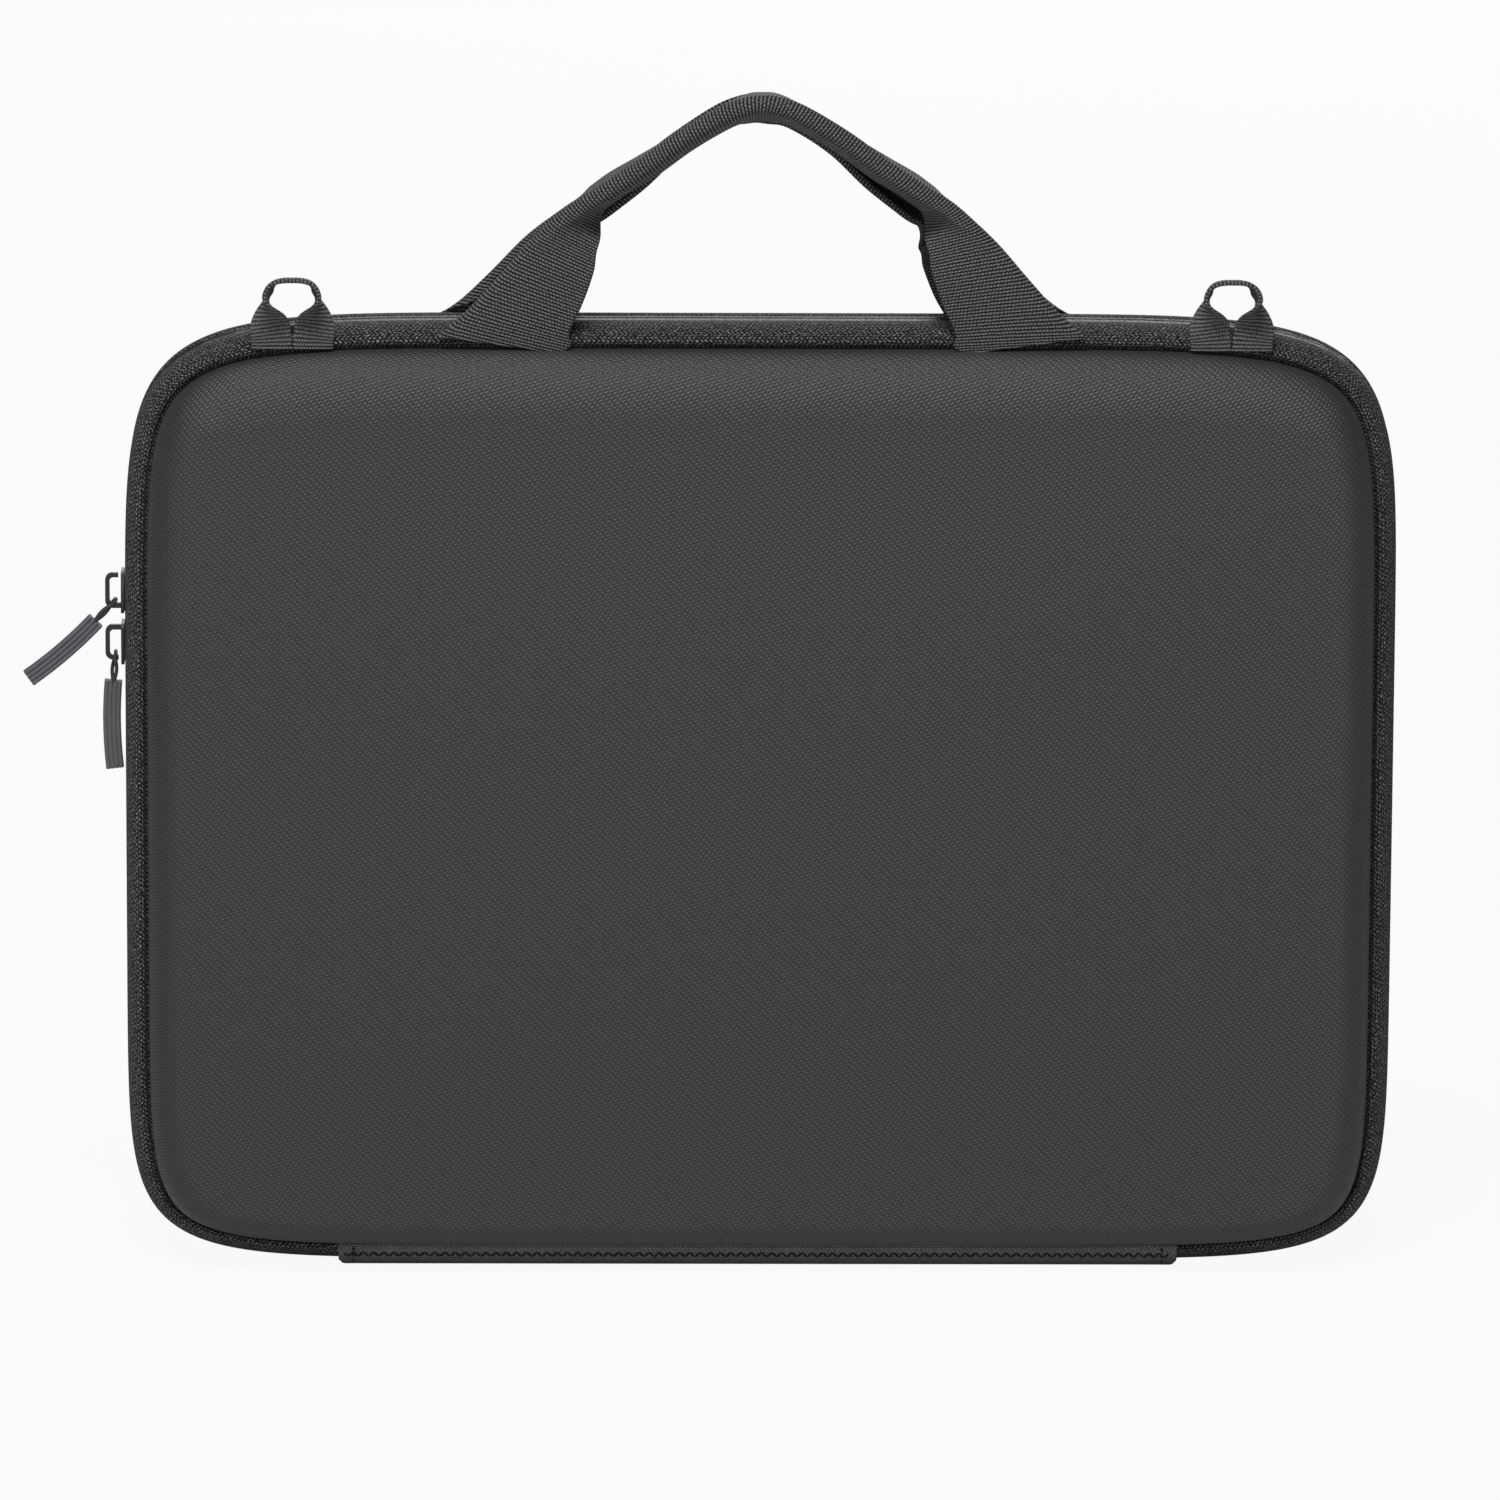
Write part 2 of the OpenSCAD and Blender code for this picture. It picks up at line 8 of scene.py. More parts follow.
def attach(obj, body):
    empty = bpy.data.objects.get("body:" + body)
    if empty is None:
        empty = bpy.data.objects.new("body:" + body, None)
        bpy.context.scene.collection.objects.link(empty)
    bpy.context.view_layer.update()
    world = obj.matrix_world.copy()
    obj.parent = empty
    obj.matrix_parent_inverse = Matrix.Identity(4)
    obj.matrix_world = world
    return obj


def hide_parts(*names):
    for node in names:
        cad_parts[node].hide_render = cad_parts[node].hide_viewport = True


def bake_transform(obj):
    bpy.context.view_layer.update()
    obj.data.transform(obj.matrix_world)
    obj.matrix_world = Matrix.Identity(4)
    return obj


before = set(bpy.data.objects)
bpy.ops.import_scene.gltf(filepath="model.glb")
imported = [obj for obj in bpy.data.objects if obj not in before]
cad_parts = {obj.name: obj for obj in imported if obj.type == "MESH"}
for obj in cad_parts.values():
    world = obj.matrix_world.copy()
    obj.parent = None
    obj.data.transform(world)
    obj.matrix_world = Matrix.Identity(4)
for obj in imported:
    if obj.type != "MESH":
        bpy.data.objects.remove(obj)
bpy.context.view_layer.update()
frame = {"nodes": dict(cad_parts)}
nodes = frame["nodes"]

# ---- the case's own sizes, in metres ---------------------------------------------------------

CASE_W = 0.395
CASE_H = 0.3004
STRIP_PROUD = 0.0012
MID_Z = STRIP_PROUD + CASE_H / 2
UPPER_SQUARENESS = 7.9
LOWER_SQUARENESS = 9.4
HALF_DEPTH = 0.028
CROWN = 0.0012
FACE_DEPTH = HALF_DEPTH - CROWN
SHELL_WALL = 0.004
LINING_WALL = 0.0012
SEAM_INSET = 0.0072
RIM_DEPTH = 0.0125
WALL_DEPTH = RIM_DEPTH + 0.0035
SHOULDERS = (0.020, 0.011, 0.009)
INNER_INSET = SEAM_INSET + SHELL_WALL + LINING_WALL
STRIP_LEN = 0.263
HANDLE_WEB = (0.038, 0.002)
LOOP_WEB = (0.0119, 0.0014)
LOOP_RISE = 0.0224
WEB_Y = RIM_DEPTH + 0.0023
WEB_Z = STRIP_PROUD + CASE_H - SEAM_INSET + 0.0003
STRAP_HALF_LEN = 0.04
STRAP_HALF_WIDE = 0.010
STRAP_IN = 0.036
POCKET = (0.3202, 0.150, STRIP_PROUD + INNER_INSET + SHOULDERS[2] + 0.006)
POCKET_HEM = 0.009
PULL_EYE_X = -CASE_W / 2 - 0.0031
PULL_DROP = 0.0096
CORD_RADIUS = 0.0006


# ---- materials -------------------------------------------------------------------------------

class Wire:
    """A socket of a material's nodes. Arithmetic on it adds Math nodes."""

    def __init__(self, nodes, socket=None):
        self.nodes, self.socket = nodes, socket

    def node(self, kind, settings=(), inputs=(), out=0):
        made = self.nodes.new(kind)
        for name, value in dict(settings).items():
            if name == "stops":
                for stop, (place, colour) in zip(made.color_ramp.elements, value):
                    stop.position, stop.color = place, colour
            else:
                setattr(made, name, value)
        for name, value in dict(inputs).items():
            if isinstance(value, Wire):
                self.nodes.id_data.links.new(value.socket, made.inputs[name])
            else:
                made.inputs[name].default_value = value
        return Wire(self.nodes, made.outputs[out])

    def maths(self, operation, first, second=0.0):
        return self.node("ShaderNodeMath", {"operation": operation}, {0: first, 1: second})

    def __add__(self, other):
        return self.maths("ADD", self, other)

    def __sub__(self, other):
        return self.maths("SUBTRACT", self, other)

    def __rsub__(self, other):
        return self.maths("SUBTRACT", other, self)

    def __mul__(self, other):
        return self.maths("MULTIPLY", self, other)

    __radd__, __rmul__ = __add__, __mul__

    def floor(self):
        return self.maths("FLOOR", self)

    def fraction(self):
        return self.maths("FRACT", self)

    def size(self):
        return self.maths("ABSOLUTE", self)

    def wave(self):
        """0 to 1 and back as the value grows by one."""
        return self.maths("SINE", self.fraction() * math.pi)

    def zigzag(self):
        """1 to 0 to 1 in straight lines as the value grows by one."""
        return (self.fraction() * 2 - 1).size()

    def power(self, exponent):
        return self.maths("POWER", self, exponent)

    def over(self, low, high):
        """0 below low, 1 above high."""
        return self.node("ShaderNodeMapRange", {"interpolation_type": "SMOOTHSTEP"},
                         {"Value": self, "From Min": low, "From Max": high})

    def tint(self, dark, light):
        """Goes from one colour to another as the value goes from 0 to 1."""
        return self.node("ShaderNodeMix", {"data_type": "RGBA"},
                         {"Factor": self, 6: (*dark, 1), 7: (*light, 1)}, out=2)


def grey(level):
    """A grey, given as it looks on a screen from 0 to 255."""
    return (((level / 255 + 0.055) / 1.055) ** 2.4,) * 3


def finish(name, paint, **constants):
    """A material. paint(wire) returns what varies over the surface, by socket name."""
    material = bpy.data.materials.new(name)
    material.use_nodes = True
    tree = material.node_tree
    shader = tree.nodes["Principled BSDF"]
    for socket, value in constants.items():
        shader.inputs[socket.replace("_", " ")].default_value = value
    for socket, value in paint(Wire(tree.nodes)).items():
        tree.links.new(value.socket, shader.inputs[socket])
    return material


def laid(wire):
    """How far along and across a woven piece a point lies, in millimetres, from its own map."""
    place = wire.node("ShaderNodeUVMap", {"uv_map": "lay"})
    along = wire.node("ShaderNodeSeparateXYZ", {}, {0: place})
    across = Wire(wire.nodes, along.socket.node.outputs[1])
    return along * 1000.0, across * 1000.0, place


def spread_noise(wire, place, scale, detail=2.0):
    return wire.node("ShaderNodeTexNoise", {"noise_dimensions": "3D"},
                     {"Vector": place, "Scale": scale, "Detail": detail, "Roughness": 0.55})


def bumped(wire, height, depth):
    return wire.node("ShaderNodeBump", {},
                     {"Height": height, "Distance": depth, "Strength": 1.0})


def bricks(along, across, pitch_along, pitch_across, lean=0.5):
    """Rounded yarns in rows, each row shifted along by a share of a yarn."""
    row = across * (1 / pitch_across)
    return row.wave() * (along * (1 / pitch_along) + row.floor() * lean).wave()


def panel_paint(wire):
    along, across, place = laid(wire)
    # The laminate is a tight weave of small floats that run together in slanting rows
    floats = bricks(along, across - along * 0.3, 1.75, 1.1, 0.5)
    threads = (along * (1 / 0.5)).wave() * 0.5 + (across * (1 / 0.55)).wave() * 0.5
    weave = floats * 0.8 + threads * 0.2
    mottle = spread_noise(wire, place, 90.0, 3.0)
    fuzz = spread_noise(wire, place, 1100.0, 2.0)
    tone = weave * 0.8 + (mottle - 0.5) * 0.12 + (fuzz - 0.5) * 0.7
    return {"Base Color": tone.tint(grey(34), grey(62)),
            "Roughness": 0.54 - weave * 0.1,
            "Normal": bumped(wire, weave + fuzz * 0.3, 0.00024)}


def tape_paint(wire):
    along, across, place = laid(wire)
    # Chevrons run across the tape, broken into short bright strokes
    jitter = spread_noise(wire, place, 780.0, 2.0)
    slant = (across * (1 / 2.6)).zigzag() * 1.4
    strokes = ((along + slant + jitter * 1.9) * (1 / 1.45)).wave()
    broken = ((across + jitter * 1.5) * (1 / 1.0)).wave()
    yarn = strokes.power(2.4) * (broken * 0.9 + 0.1)
    fuzz = spread_noise(wire, place, 1150.0, 3.0)
    tone = yarn * 0.95 + (fuzz - 0.5) * 2.1 - 0.25
    return {"Base Color": tone.tint(grey(4), grey(164)),
            "Roughness": 0.85 - yarn * 0.3,
            "Normal": bumped(wire, yarn + fuzz * 0.5, 0.0007)}


def webbing_paint(wire):
    along, across, place = laid(wire)
    wander = spread_noise(wire, place, 260.0, 2.0)
    rib = (along + across * 0.12 + wander * 0.3) * (1 / 1.14)
    bead = ((across + wander * 0.3) * (1 / 1.1) + rib.floor() * 0.5).wave()
    yarn = rib.wave().power(1.7) * (bead * 0.65 + 0.35)
    fuzz = spread_noise(wire, place, 1150.0, 2.0)
    tone = yarn * 1.05 + (fuzz - 0.5) * 1.0 - 0.09
    return {"Base Color": tone.tint(grey(4), grey(134)),
            "Roughness": 0.8 - yarn * 0.25,
            "Normal": bumped(wire, yarn + fuzz * 0.3, 0.0006)}


def narrow_webbing_paint(wire):
    along, across, place = laid(wire)
    wander = spread_noise(wire, place, 260.0, 2.0)
    rib = (along + wander * 0.3) * (1 / 1.15)
    bead = ((across + wander * 0.25) * (1 / 0.85) + rib.floor() * 0.5).wave()
    yarn = rib.wave().power(1.1) * (bead * 0.6 + 0.4)
    fuzz = spread_noise(wire, place, 1250.0, 2.0)
    tone = yarn * 0.95 + (fuzz - 0.5) * 0.9
    return {"Base Color": tone.tint(grey(12), grey(128)),
            "Roughness": 0.8 - yarn * 0.25,
            "Normal": bumped(wire, yarn + fuzz * 0.3, 0.0006)}


def strip_paint(wire):
    along, across, place = laid(wire)
    weave = bricks(along, across, 1.3, 0.8, 0.36)
    mottle = spread_noise(wire, place, 120.0, 3.0)
    fuzz = spread_noise(wire, place, 1100.0, 2.0)
    tone = weave * 0.7 + (mottle - 0.5) * 0.5 + (fuzz - 0.5) * 0.8
    return {"Base Color": tone.tint(grey(80), grey(142)),
            "Roughness": 0.64 - weave * 0.1,
            "Normal": bumped(wire, weave + fuzz * 0.3, 0.00025)}


def binding_paint(wire):
    along, across, place = laid(wire)
    rib = (along * (1 / 0.8)).wave() * ((across * (1 / 0.9)).wave() * 0.5 + 0.5)
    fuzz = spread_noise(wire, place, 1200.0, 2.0)
    tone = rib * 0.7 + fuzz * 0.3
    return {"Base Color": tone.tint(grey(20), grey(58)),
            "Roughness": 0.8 - rib * 0.15,
            "Normal": bumped(wire, rib, 0.00025)}


def elastic_paint(wire):
    along, across, place = laid(wire)
    cords = (across * (1 / 1.25)).wave()
    ticks = (along * (1 / 0.7)).wave()
    yarn = cords * (ticks * 0.45 + 0.55)
    fuzz = spread_noise(wire, place, 1200.0, 2.0)
    return {"Base Color": (yarn * 0.75 + fuzz * 0.25).tint(grey(14), grey(50)),
            "Roughness": 0.75 - yarn * 0.2,
            "Normal": bumped(wire, yarn, 0.0003)}


def plush_paint(wire):
    along, across, place = laid(wire)
    swirl = spread_noise(wire, place, 22.0, 3.0)
    nap = spread_noise(wire, place, 320.0, 3.0)
    pile = spread_noise(wire, place, 1600.0, 2.0)
    tone = swirl * 0.35 + nap * 0.35 + pile * 0.3
    return {"Base Color": tone.tint(grey(36), grey(74)),
            "Roughness": 0.95 - nap * 0.1,
            "Normal": bumped(wire, nap * 0.6 + pile * 0.4, 0.0006)}


def net_paint(wire):
    along, across, place = laid(wire)
    # Round holes in staggered rows, with a plain hem along the top
    row = across * (1 / 2.6)
    u = (along * (1 / 3.0) + row.floor() * 0.5).fraction() - 0.5
    v = row.fraction() - 0.5
    from_middle = (u * u + v * v).power(0.5)
    hem = across.over(140.5, 141.0)
    edge = 1 - across.over(9.0, 9.5)
    cloth = from_middle.over(0.3, 0.34)
    solid = wire.maths("MAXIMUM", wire.maths("MAXIMUM", cloth, hem), edge)
    thread = (along * (1 / 0.5)).wave() * 0.5 + (across * (1 / 0.5)).wave() * 0.5
    return {"Base Color": (from_middle * 0.6 + thread * 0.4).tint(grey(18), grey(52)),
            "Alpha": solid,
            "Roughness": 0.85 - thread * 0.15,
            "Normal": bumped(wire, thread * 0.5 + from_middle, 0.0002)}


def thread_paint(wire):
    along, across, place = laid(wire)
    ply = ((along + across * 1.4) * (1 / 0.35)).wave()
    return {"Base Color": ply.tint(grey(12), grey(44)),
            "Roughness": 0.7 - ply * 0.2,
            "Normal": bumped(wire, ply, 0.0001)}


def cord_paint(wire):
    along, across, place = laid(wire)
    left = ((along + across * 0.9) * (1 / 0.9)).wave()
    right = ((along - across * 0.9) * (1 / 0.9)).wave()
    braid = wire.maths("MAXIMUM", left, right)
    return {"Base Color": braid.tint(grey(10), grey(62)),
            "Roughness": 0.5 - braid * 0.18,
            "Normal": bumped(wire, braid, 0.00012)}


def at(wire):
    """The place of a carried-over part in the case's frame, in metres."""
    return wire.node("ShaderNodeTexCoord", {}, {}, out=3)


def enamel_paint(wire):
    place = at(wire)
    cast = spread_noise(wire, place, 900.0, 3.0)
    rubbed = spread_noise(wire, place, 260.0, 4.0)
    return {"Base Color": rubbed.tint(grey(5), grey(17)),
            "Roughness": 0.3 + rubbed * 0.22,
            "Normal": bumped(wire, cast, 0.00006)}


def teeth_paint(wire):
    place = at(wire)
    scuff = spread_noise(wire, place, 500.0, 3.0)
    return {"Base Color": scuff.tint(grey(18), grey(40)),
            "Roughness": 0.38 + scuff * 0.2,
            "Normal": bumped(wire, scuff, 0.00005)}


def grip_paint(wire):
    place = at(wire)
    grain = spread_noise(wire, place, 1300.0, 3.0)
    cloud = spread_noise(wire, place, 140.0, 2.0)
    tone = grain * 0.45 + cloud * 0.55
    return {"Base Color": tone.tint((0.088, 0.092, 0.102), (0.155, 0.159, 0.171)),
            "Roughness": 0.5 + grain * 0.15,
            "Normal": bumped(wire, grain, 0.00008)}


panel_cloth = finish("panel_cloth", panel_paint, Specular_IOR_Level=0.6, Sheen_Weight=0.05)
tape_cloth = finish("tape_cloth", tape_paint, Specular_IOR_Level=0.25, Sheen_Weight=0.1)
handle_web = finish("handle_web", webbing_paint, Specular_IOR_Level=0.25, Sheen_Weight=0.08)
loop_web = finish("loop_web", narrow_webbing_paint, Specular_IOR_Level=0.25, Sheen_Weight=0.08)
strip_cloth = finish("strip_cloth", strip_paint, Specular_IOR_Level=0.3, Sheen_Weight=0.06)
binding_cloth = finish("binding_cloth", binding_paint, Specular_IOR_Level=0.2)
elastic_web = finish("elastic_web", elastic_paint, Specular_IOR_Level=0.2)
plush = finish("plush", plush_paint, Specular_IOR_Level=0.1, Sheen_Weight=0.25)
pocket_mesh = finish("pocket_mesh", net_paint, Specular_IOR_Level=0.2)
sewing_thread = finish("sewing_thread", thread_paint, Specular_IOR_Level=0.3)
braided_cord = finish("braided_cord", cord_paint, Specular_IOR_Level=0.5)
slider_enamel = finish("slider_enamel", enamel_paint, Specular_IOR_Level=0.6)
zip_plastic = finish("zip_plastic", teeth_paint, Specular_IOR_Level=0.5)
grip_rubber = finish("grip_rubber", grip_paint, Specular_IOR_Level=0.35)


# ---- meshes ----------------------------------------------------------------------------------

def surface(name, material, grids, sharp=None):
    """One mesh from grids of points. A grid is (points, lay, wraps along, wraps across, caps)."""
    points, faces, lays = [], [], []
    for grid, lay, wrap_rows, wrap_columns, caps in grids:
        rows, columns = grid.shape[:2]
        start = len(points)
        points.extend(map(tuple, grid.reshape(-1, 3)))
        for i in range(rows - (not wrap_rows)):
            for j in range(columns - (not wrap_columns)):
                i2, j2 = (i + 1) % rows, (j + 1) % columns
                faces.append([start + i * columns + j, start + i * columns + j2,
                              start + i2 * columns + j2, start + i2 * columns + j])
                lays.extend([lay[i, j], lay[i, j + 1], lay[i + 1, j + 1], lay[i + 1, j]])
        if caps:
            first = [start + j for j in range(columns)][::-1]
            last = [start + (rows - 1) * columns + j for j in range(columns)]
            for ring, row in ((first, 0), (last, rows - 1)):
                faces.append(ring)
                lays.extend([lay[row, j % columns] for j in
                             (range(columns)[::-1] if row == 0 else range(columns))])
    return mesh_piece(name, material, points, faces, np.array(lays), sharp)


def mesh_piece(name, material, points, faces, lays, sharp=None):
    mesh = bpy.data.meshes.new(name)
    mesh.from_pydata(points, [], faces)
    mesh.uv_layers.new(name="lay")
    mesh.uv_layers["lay"].data.foreach_set("uv", np.asarray(lays, np.float32).ravel())
    mesh.materials.append(material)
    mesh.shade_smooth()
    if sharp:
        mesh.set_sharp_from_angle(angle=math.radians(sharp))
    mesh.update()
    piece = bpy.data.objects.new(name, mesh)
    bpy.context.scene.collection.objects.link(piece)
    return piece


def lengths(points, closed=False):
    """How far along a line of points each one lies."""
    if closed:
        points = np.concatenate([points, points[:1]])
    return np.concatenate([[0], np.cumsum(np.linalg.norm(np.diff(points, axis=0), axis=1))])


def lay_of(run, span):
    """The map of a grid whose cloth lies straight along and across it."""
    return np.stack(np.meshgrid(run, span, indexing="ij"), -1)


def signed_power(v, exponent):
    return np.sign(v) * np.abs(v) ** exponent


def outline(turn):
    """The case's outline and its outward normals at these angles, as X and Z."""
    power = np.where(np.sin(turn) < 0, LOWER_SQUARENESS, UPPER_SQUARENESS)
    x = CASE_W / 2 * signed_power(np.cos(turn), 2 / power)
    z = CASE_H / 2 * signed_power(np.sin(turn), 2 / power)
    away = np.stack([signed_power(2 * x / CASE_W, power - 1) / CASE_W,
                     signed_power(2 * z / CASE_H, power - 1) / CASE_H], -1)
    away /= np.linalg.norm(away, axis=-1, keepdims=True)
    return np.stack([x, z + MID_Z], -1), away


def close_turns():
    """Angles once round the outline, in steps that stay short along its flat sides too."""
    turns = []
    for quarter in range(4):
        power = UPPER_SQUARENESS if quarter < 2 else LOWER_SQUARENESS
        rise = np.arcsin(np.linspace(0, 0.5 ** (1 / power), 3000) ** (power / 2))
        turns += [quarter * math.pi / 2 + rise, (quarter + 1) * math.pi / 2 - rise[::-1]]
    return np.unique(np.concatenate(turns))


def evenly(start, end, count, closed):
    """Angles at even steps along the outline, and how far along it each one lies."""
    dense = np.concatenate([close_turns() - 2 * math.pi, close_turns()])
    dense = np.unique(np.concatenate([[start], dense[(dense > start) & (dense < end)], [end]]))
    run = lengths(outline(dense)[0])
    stops = np.linspace(0, run[-1], count + 1 if closed else count)
    turns = np.interp(stops, run, dense)
    return (turns[:-1] if closed else turns), stops


def shoulder(away):
    """How far in the shell's face begins, all the way round."""
    top, side, bottom = SHOULDERS
    up = np.clip(away[:, 1], 0, None) ** 2
    down = np.clip(-away[:, 1], 0, None) ** 2
    return side + (top - side) * up + (bottom - side) * down


def smooth_section(corners, steps, closed=True):
    """A smooth curve through the corners of a section."""
    p = np.array(corners, float)
    count = len(p)
    out = []
    for i in range(count if closed else count - 1):
        a, b = (p[i - 1] if closed or i else p[0]), p[i]
        c = p[(i + 1) % count]
        d = p[(i + 2) % count] if closed or i + 2 < count else p[-1]
        for t in np.arange(steps) / steps:
            out.append(0.5 * (2 * b + (c - a) * t + (2 * a - 5 * b + 4 * c - d) * t * t
                              + (3 * b - a - 3 * c + d) * t ** 3))
    if not closed:
        out.append(p[-1])
    return np.array(out)


def round_the_case(turns, runs, section, closed, flip, side):
    """A section of (inset, depth) carried along the outline. side is 1 for the back."""
    base, away = outline(turns)
    span = lengths(section, closed=True)
    ring = base[:, None, :] - section[None, :, :1] * away[:, None, :]
    grid = np.stack([ring[..., 0], np.broadcast_to(section[:, 1] * side, ring.shape[:2]),
                     ring[..., 1]], -1)
    rows = len(turns) + (1 if closed else 0)
    lay = np.stack(np.meshgrid(runs[:rows], span, indexing="ij"), -1)
    if flip:
        grid, lay = grid[:, ::-1], lay[:, ::-1]
    return grid, lay, closed, True, not closed


ROUND = evenly(0, 2 * math.pi, 440, True)


def dished(inside, steps, crowned=False):
    """Rings of a shell's skin from its rim to its face, with the lay of its cloth."""
    turns, runs = ROUND
    base, away = outline(turns)
    width = shoulder(away)[:, None]
    rings = [(base - (SEAM_INSET + inside) * away, RIM_DEPTH)]
    for k in range(steps + 1):
        turn = math.pi / 2 * k / steps
        inset = SEAM_INSET + inside + (width - 0.4 * inside) * (1 - math.cos(turn))
        rings.append((base - inset * away,
                      WALL_DEPTH + (FACE_DEPTH - inside - WALL_DEPTH) * math.sin(turn)))
    edge = rings[-1][0]
    middle = np.array([0, MID_Z])
    for share in (0.97, 0.9, 0.78, 0.6, 0.4, 0.2, 0.02):
        rise = CROWN * (1 - share * share) if crowned else 0
        rings.append((middle + (edge - middle) * share, FACE_DEPTH - inside + rise))
    grid = np.array([np.insert(ring, 1, depth, axis=1) for ring, depth in rings])
    # The cloth is laid flat from the face outwards, over the shoulder and down the wall
    last = steps + 1
    slant = np.linalg.norm(np.diff(grid[:last + 1], axis=0), axis=2)
    beyond = np.concatenate([np.cumsum(slant[::-1], axis=0)[::-1], np.zeros((1, len(turns)))])
    lay = grid[..., [0, 2]].copy()
    lay[:last + 1] = edge[None] + away[None] * beyond[..., None]
    return grid, lay


def wrapped(lay):
    return np.concatenate([lay, lay[:, :1]], 1)


def moulding(name, cloth, outside, inside, side):
    """A shell or its lining, from the rings of its two skins. side is 1 for the back."""
    grid, lay = (np.concatenate([outer[::-1], inner]) for outer, inner in zip(outside, inside))
    grid[..., 1] *= side
    if side < 0:
        grid, lay = grid[:, ::-1], lay[:, ::-1]
    return surface(name, cloth, [(grid, wrapped(lay), False, True, True)], 50)


def shell(name, side):
    return moulding(name, panel_cloth, dished(0.0, 18, crowned=True), dished(SHELL_WALL, 6), side)


def lining(name, side):
    return moulding(name, plush, dished(SHELL_WALL, 6), dished(SHELL_WALL + LINING_WALL, 12), side)


def low_angle(x):
    """How far below the middle the outline's lower half is at this distance across."""
    return math.acos((x / (CASE_W / 2)) ** (LOWER_SQUARENESS / 2))


# The tape's end is square to the outline, so that it leans towards the strip at its seam
END_LEAN = SEAM_INSET * abs(outline(np.array([math.pi + low_angle(STRIP_LEN / 2)]))[1][0, 0])
ZIP_END = low_angle(STRIP_LEN / 2 - 0.0004 + END_LEAN)
ZIP = evenly(-ZIP_END, math.pi + ZIP_END, 460, False)
TAPE_SECTION = np.array([
    (0.5, 3.2), (0.15, 4.0), (0, 5.2), (0.3, 8.2), (1.1, 10.6), (2.3, 12.5), (3.7, 13.9),
    (4.8, 14.5), (5.6, 14.3), (6.0, 13.6), (6.1, 12.7), (6.4, 12.0), (7.1, 11.9), (7.1, 11.4),
    (5.8, 11.5), (4.8, 11.9), (3.1, 10.3), (2.1, 8.0), (2.1, 5.0), (2.1, 3.3), (1.3, 3.2)]) / 1000


def zip_tape(name, side):
    section = smooth_section(TAPE_SECTION, 3)
    return surface(name, tape_cloth, [round_the_case(*ZIP, section, False, side > 0, side)], 60)


def seam_binding(name, side):
    outer, inner, crest = SEAM_INSET + 0.0001, INNER_INSET + 0.0001, RIM_DEPTH - 0.0021
    section = smooth_section([
        (outer, RIM_DEPTH), (outer, RIM_DEPTH - 0.0012), (SEAM_INSET + 0.001, crest),
        (INNER_INSET - 0.001, crest), (inner, RIM_DEPTH - 0.0012), (inner, RIM_DEPTH)], 3)
    band = round_the_case(*ROUND, section, True, side < 0, side)
    return surface(name, binding_cloth, [band], 60)


# ---- webbing ---------------------------------------------------------------------------------

def ease(v):
    u = np.clip(v, 0, 1)
    return u * u * (3 - 2 * u)


def bezier(p, t):
    p = [np.array(q, float) for q in p]
    t = np.asarray(t, float)[..., None]
    return ((1 - t) ** 3 * p[0] + 3 * t * (1 - t) ** 2 * p[1] + 3 * t * t * (1 - t) * p[2]
            + t ** 3 * p[3])


def woven_ring(s, angle, at_zero, thick):
    """A section of webbing that bends by angle at each place s across it, with round edges."""
    slope = (angle[1:] + angle[:-1]) / 2
    x = np.concatenate([[0], np.cumsum(np.cos(slope) * np.diff(s))])
    y = np.concatenate([[0], np.cumsum(-np.sin(slope) * np.diff(s))])
    x, y = x - np.interp(at_zero, s, x), y - np.interp(at_zero, s, y)
    nx, ny = np.sin(angle), np.cos(angle)
    above = np.stack([x, y], -1)
    below = np.stack([x - nx * thick, y - ny * thick], -1)
    edges = []
    for k, way in ((0, -1), (-1, 1)):
        along = np.array([math.cos(angle[k]), -math.sin(angle[k])]) * way * thick * 0.3
        down = np.array([nx[k], ny[k]]) * thick
        edges.append([above[k] + along * 0.6 - down * 0.2, above[k] + along - down * 0.5,
                      above[k] + along * 0.6 - down * 0.8])
    return np.concatenate([above, edges[1], below[::-1], edges[0][::-1]])


def placed_ring(flat, centre, head, turn):
    """A flat section set across a leg: each point is along the case, up, and to the front."""
    out = np.array([-head[1] * math.cos(turn), head[0] * math.cos(turn), math.sin(turn)])
    across = np.array([head[1] * math.sin(turn), -head[0] * math.sin(turn), math.cos(turn)])
    return np.array([centre[0], centre[1], 0]) + flat[:, :1] * across + flat[:, 1:] * out


def loop_leg(route, steps, wide, thick, settle):
    """Rings of narrow webbing up one leg: flat against the case, then turned past edge on."""
    s = np.linspace(-wide / 2, wide / 2, 21)
    rings = []
    for t in np.linspace(0, 1, steps + 1):
        head = bezier(route, min(1, t + 0.01)) - bezier(route, max(0, t - 0.01))
        free = ease(t / 0.15)
        head = head / np.linalg.norm(head) * free + np.array([0, 1]) * (1 - free)
        turn = math.radians(90 - 100 * ease((t - 0.12) / settle))
        flat = woven_ring(s, s * 0.07 / wide * 2, 0, thick)
        rings.append(placed_ring(flat, bezier(route, t), head / np.linalg.norm(head), turn))
    return np.array(rings), len(s) // 2


